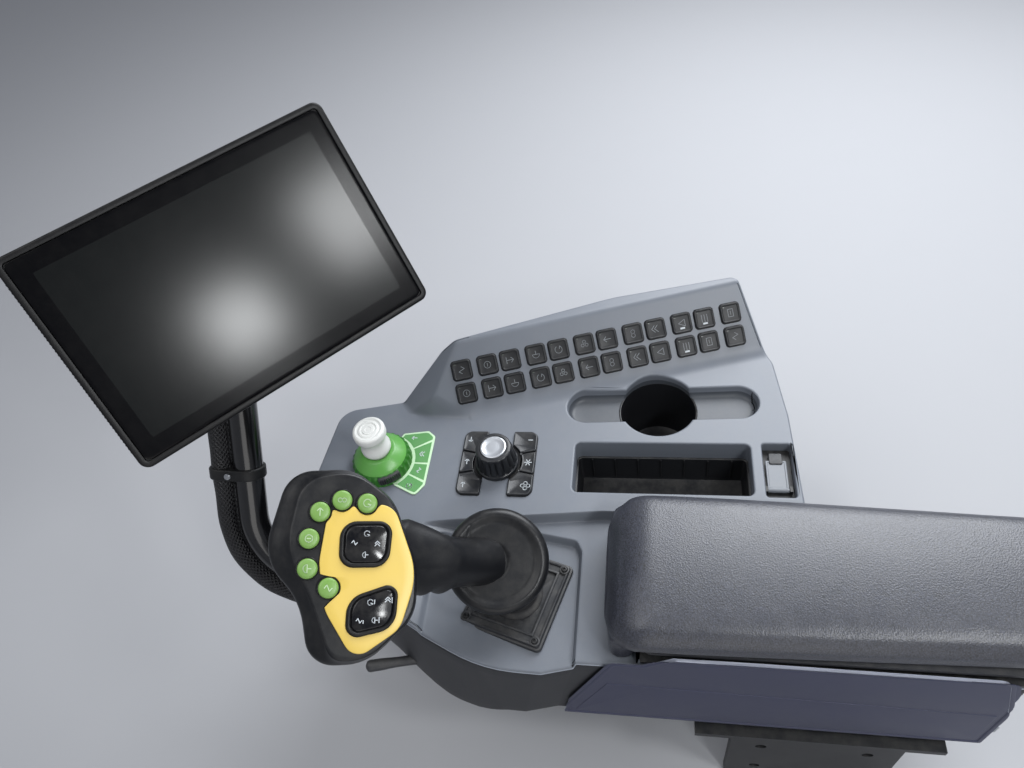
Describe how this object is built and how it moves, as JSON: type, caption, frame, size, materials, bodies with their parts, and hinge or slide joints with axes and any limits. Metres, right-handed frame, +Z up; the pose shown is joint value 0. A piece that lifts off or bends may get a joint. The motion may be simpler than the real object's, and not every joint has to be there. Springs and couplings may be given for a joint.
{
  "type": "operator's control armrest",
  "caption": "Seat-mounted control armrest: moulded console with multifunction joystick, key panel, rotary controls, cup holder, tray, hinged arm pad and touch display on a bent tube.",
  "frame": {"origin": "centre of the four-hole bolt pattern on the seat side of the bracket plate", "axes": "+X outboard, away from the seat; +Y forward, the way the operator faces; +Z up; the bolts enter along X"},
  "size_m": [0.4714, 0.8715, 0.608],
  "materials": {
    "black_steel": "gloss black powder coat",
    "zinc_steel": "zinc plated steel",
    "black_cast": "satin black cast metal",
    "tub_plastic": "dark grey grained plastic",
    "deck_plastic": "mid grey grained plastic",
    "panel_plastic": "dark blue grey grained plastic",
    "black_plastic": "black moulded plastic",
    "base_plastic": "black ribbed plastic",
    "grey_plastic": "grey plastic",
    "key_rubber": "dark grey rubber keys with pale symbols",
    "green_plastic": "green gloss plastic",
    "legend_green": "pale green legend plate",
    "white_plastic": "white plastic",
    "soft_black": "soft touch black",
    "chrome_cap": "satin chrome cap",
    "gaiter_rubber": "black rubber gaiter",
    "grip_plastic": "satin dark grey grip",
    "yellow_plastic": "satin yellow face plate",
    "button_green": "soft green buttons",
    "gloss_black": "gloss black rocker pads",
    "pad_skin": "grained soft foam skin",
    "braid": "black braided sleeve",
    "display_plastic": "black fine textured plastic",
    "display_glass": "black glass over a dark screen"
  },
  "bodies": {
    "root": {"seat_bracket": "black_steel", "slide_rail_inner": "zinc_steel", "slide_rail_outer": "zinc_steel"},
    "console": {"slide_runner_inner": "zinc_steel", "slide_runner_outer": "zinc_steel", "console_tub": "tub_plastic", "console_deck": "deck_plastic", "side_panel": "panel_plastic", "cup_insert": "tub_plastic", "tray_bin": "black_plastic", "storage_bin": "black_plastic", "panel_keys": "key_rubber", "dial_base": "green_plastic", "dial_insert": "grey_plastic", "dial_knob": "white_plastic", "dial_legend": "legend_green", "jog_knob": "soft_black", "jog_cap": "chrome_cap", "jog_keys": "key_rubber", "stick_base": "base_plastic", "stick_gaiter": "gaiter_rubber", "gimbal_seat": "zinc_steel", "socket_box": "black_plastic", "lid_pins": "zinc_steel", "support_tube": "black_steel", "tube_head": "zinc_steel", "cable_sleeve": "braid", "sleeve_clips": "black_plastic", "tube_flange": "black_plastic", "height_lever": "black_plastic"},
    "lid": {"pad_lid": "black_plastic", "arm_pad": "pad_skin"},
    "yoke": {"stick_yoke": "zinc_steel"},
    "stick": {"stick_stalk": "zinc_steel", "stick_boot": "gaiter_rubber", "stick_rest": "grip_plastic", "stick_neck": "grip_plastic", "stick_head": "grip_plastic", "stick_face": "yellow_plastic", "stick_buttons": "button_green", "rocker_upper": "gloss_black", "rocker_lower": "gloss_black", "stick_trigger": "grip_plastic"},
    "flap": {"socket_flap": "grey_plastic"},
    "knuckle": {"display_knuckle": "black_cast"},
    "display": {"display_hinge": "black_cast", "display_housing": "display_plastic", "display_glass": "display_glass"}
  },
  "joints": [
    {"name": "console_slide", "type": "slide", "parent": "root", "child": "console", "axis": [0, 1, 0], "range_m": [-0.05, 0.05]},
    {"name": "lid_hinge", "type": "hinge", "parent": "console", "child": "lid", "pos_m": [0.077, -0.147, 0.231], "axis": [1, 0, 0], "range_deg": [0, 75]},
    {"name": "stick_fore_aft", "type": "hinge", "parent": "console", "child": "yoke", "pos_m": [0.071, 0.282, 0.195], "axis": [-1, 0, 0], "range_deg": [-12, 12], "stiffness_Nm_per_rad": 40},
    {"name": "stick_side", "type": "hinge", "parent": "yoke", "child": "stick", "pos_m": [0.071, 0.282, 0.195], "axis": [0, 1, 0], "range_deg": [-10, 10], "stiffness_Nm_per_rad": 40},
    {"name": "socket_flap_hinge", "type": "hinge", "parent": "console", "child": "flap", "pos_m": [0.187, 0.035, 0.216], "axis": [0, -1, 0], "range_deg": [0, 95]},
    {"name": "display_swivel", "type": "hinge", "parent": "console", "child": "knuckle", "pos_m": [0.27822, 0.55881, 0.42349], "axis": [0.5812, -0.0349, 0.813], "range_deg": [-25, 25]},
    {"name": "display_tilt", "type": "hinge", "parent": "knuckle", "child": "display", "pos_m": [0.27822, 0.55881, 0.42349], "axis": [0.6984, -0.7157, 0], "range_deg": [-15, 15]}
  ]
}
